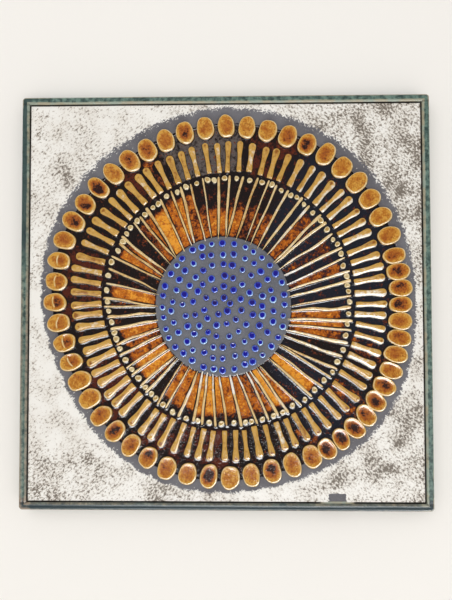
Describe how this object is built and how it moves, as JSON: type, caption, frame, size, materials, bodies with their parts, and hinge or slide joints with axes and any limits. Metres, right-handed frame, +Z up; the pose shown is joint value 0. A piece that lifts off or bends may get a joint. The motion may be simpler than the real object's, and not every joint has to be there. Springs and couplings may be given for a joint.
{
  "type": "decorative wall plaque",
  "caption": "Square glazed stoneware wall plaque with a sunburst rosette in relief, a raised rim and a hanging slot in the back.",
  "frame": {"origin": "centre of the flat back, where it touches the wall", "axes": "+Z up the hung plaque, +Y into the wall, +X to the right as seen from the front; the relief faces -Y"},
  "size_m": [0.35, 0.0176, 0.3532],
  "materials": {
    "stoneware": "fired stoneware, cream, amber and dark brown glazes breaking over the relief",
    "field_glaze": "matt off-white glaze, pitted and scraped, with grey specks",
    "bare_clay": "bare matt grey clay",
    "amber_glaze": "glossy amber to dark brown glaze pools with fine bubbles",
    "cream_glaze": "glossy cream and gold glaze breaking over edges",
    "blue_glaze": "glossy cobalt blue glaze",
    "green_glaze": "satin teal-green glaze breaking to beige on its edges"
  },
  "bodies": {
    "root": {"plaque": "stoneware"}
  },
  "joints": []
}
